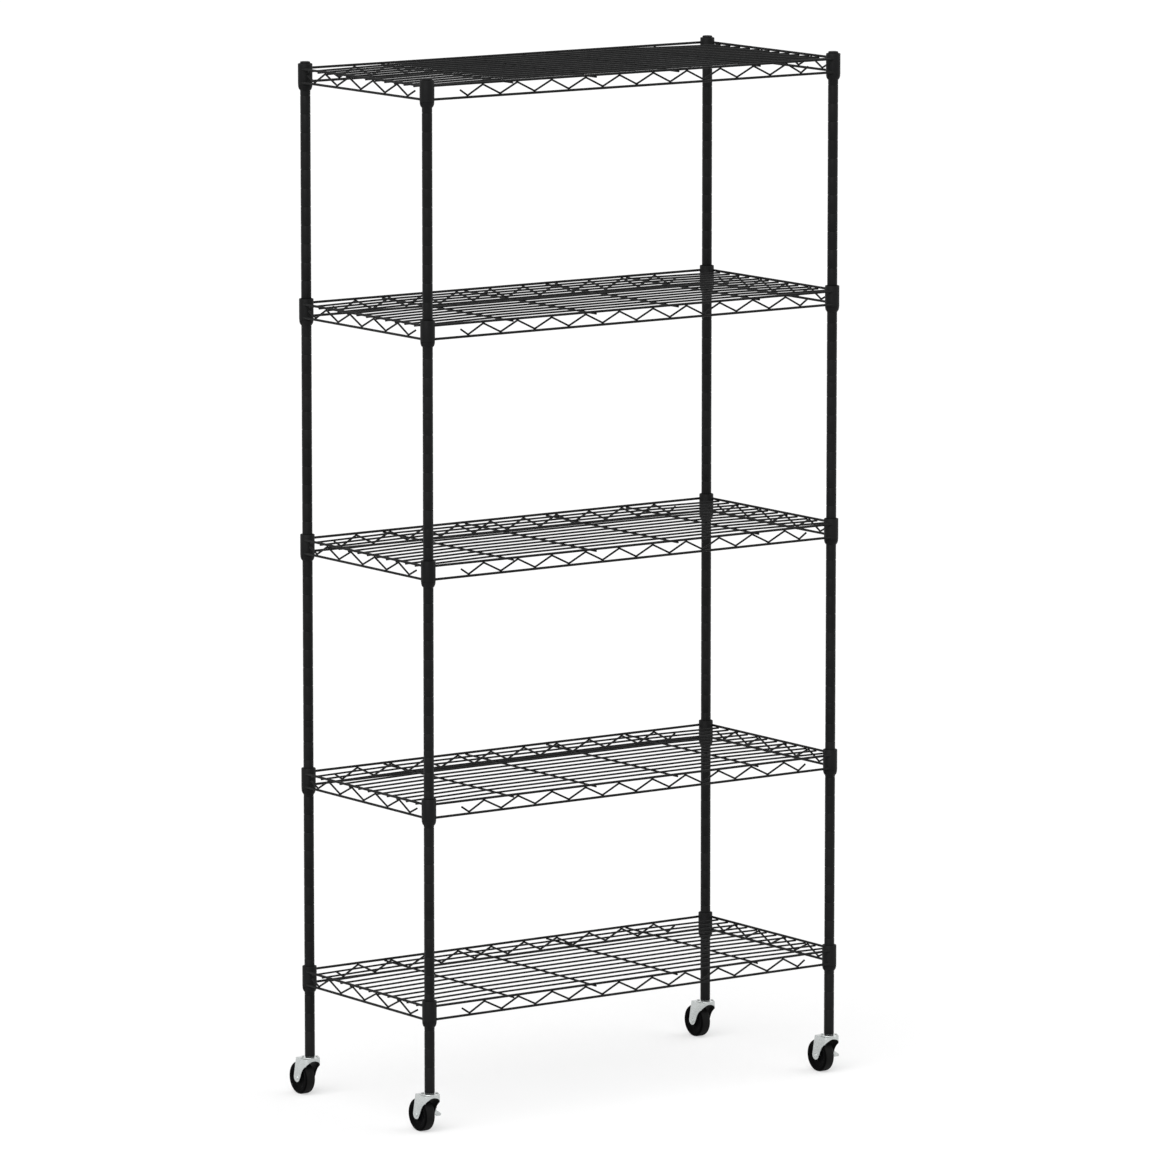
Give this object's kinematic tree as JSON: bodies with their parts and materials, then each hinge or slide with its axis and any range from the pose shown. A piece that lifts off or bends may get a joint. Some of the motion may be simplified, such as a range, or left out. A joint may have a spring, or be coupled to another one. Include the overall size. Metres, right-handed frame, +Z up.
{
  "type": "wire shelving rack",
  "caption": "Tall black wire shelving rack with open shelves on grooved round posts, truss-edged wire decks, clip collars and small swivel casters, the front ones with brake pedals.",
  "frame": {"origin": "on the floor, under the middle of the whole rack's bounding box with the wheels trailing backwards", "axes": "+Z up, +X along the long side of the shelves, -Y the front, where the braked casters are"},
  "size_m": [0.7182, 0.3448, 1.4358],
  "materials": {
    "black_metal": "fine black powder coat, semi-gloss",
    "black_plastic": "moulded black plastic",
    "tyre_black": "black wheel tread, smooth",
    "zinc": "bright zinc plated pressed steel"
  },
  "bodies": {
    "rack": {"frame_1": "black_metal", "frame_2": "black_metal", "frame_3": "black_metal", "frame_4": "black_metal", "frame_5": "black_metal", "deck_1": "black_metal", "deck_2": "black_metal", "deck_3": "black_metal", "deck_4": "black_metal", "deck_5": "black_metal", "clips_1": "black_plastic", "clips_2": "black_plastic", "clips_3": "black_plastic", "clips_4": "black_plastic", "clips_5": "black_plastic", "post_low_fl": "black_metal", "post_low_fr": "black_metal", "post_low_bl": "black_metal", "post_low_br": "black_metal", "post_mid_fl": "black_metal", "post_mid_fr": "black_metal", "post_mid_bl": "black_metal", "post_mid_br": "black_metal", "post_top_fl": "black_metal", "post_top_fr": "black_metal", "post_top_bl": "black_metal", "post_top_br": "black_metal", "post_joiners": "zinc", "post_feet": "zinc", "post_caps": "black_plastic", "caster_balls": "zinc", "stem_fl": "zinc", "stem_fr": "zinc", "stem_bl": "zinc", "stem_br": "zinc"},
    "caster_fl": {"fork_fl": "zinc", "axle_fl": "zinc"},
    "wheel_fl": {"hub_fl": "black_plastic", "tyre_fl": "tyre_black"},
    "lever_fl": {"brake_fl": "zinc"},
    "caster_fr": {"fork_fr": "zinc", "axle_fr": "zinc"},
    "wheel_fr": {"hub_fr": "black_plastic", "tyre_fr": "tyre_black"},
    "lever_fr": {"brake_fr": "zinc"},
    "caster_bl": {"fork_bl": "zinc", "axle_bl": "zinc"},
    "wheel_bl": {"hub_bl": "black_plastic", "tyre_bl": "tyre_black"},
    "caster_br": {"fork_br": "zinc", "axle_br": "zinc"},
    "wheel_br": {"hub_br": "black_plastic", "tyre_br": "tyre_black"}
  },
  "joints": [
    {"name": "swivel_fl", "type": "hinge", "parent": "rack", "child": "caster_fl", "pos_m": [-0.3455, -0.1594, 0.0538], "axis": [0, 0, 1], "continuous": true},
    {"name": "spin_fl", "type": "hinge", "parent": "caster_fl", "child": "wheel_fl", "pos_m": [-0.3455, -0.145, 0.0228], "axis": [1, 0, 0], "continuous": true},
    {"name": "brake_fl", "type": "hinge", "parent": "caster_fl", "child": "lever_fl", "pos_m": [-0.3302, -0.145, 0.031], "axis": [0, 1, 0], "range_deg": [0, 12]},
    {"name": "swivel_fr", "type": "hinge", "parent": "rack", "child": "caster_fr", "pos_m": [0.3315, -0.1594, 0.0538], "axis": [0, 0, 1], "continuous": true},
    {"name": "spin_fr", "type": "hinge", "parent": "caster_fr", "child": "wheel_fr", "pos_m": [0.3315, -0.145, 0.0228], "axis": [1, 0, 0], "continuous": true},
    {"name": "brake_fr", "type": "hinge", "parent": "caster_fr", "child": "lever_fr", "pos_m": [0.3468, -0.145, 0.031], "axis": [0, 1, 0], "range_deg": [0, 12]},
    {"name": "swivel_bl", "type": "hinge", "parent": "rack", "child": "caster_bl", "pos_m": [-0.3455, 0.1352, 0.0538], "axis": [0, 0, 1], "continuous": true},
    {"name": "spin_bl", "type": "hinge", "parent": "caster_bl", "child": "wheel_bl", "pos_m": [-0.3455, 0.1496, 0.0228], "axis": [1, 0, 0], "continuous": true},
    {"name": "swivel_br", "type": "hinge", "parent": "rack", "child": "caster_br", "pos_m": [0.3315, 0.1352, 0.0538], "axis": [0, 0, 1], "continuous": true},
    {"name": "spin_br", "type": "hinge", "parent": "caster_br", "child": "wheel_br", "pos_m": [0.3315, 0.1496, 0.0228], "axis": [1, 0, 0], "continuous": true}
  ]
}
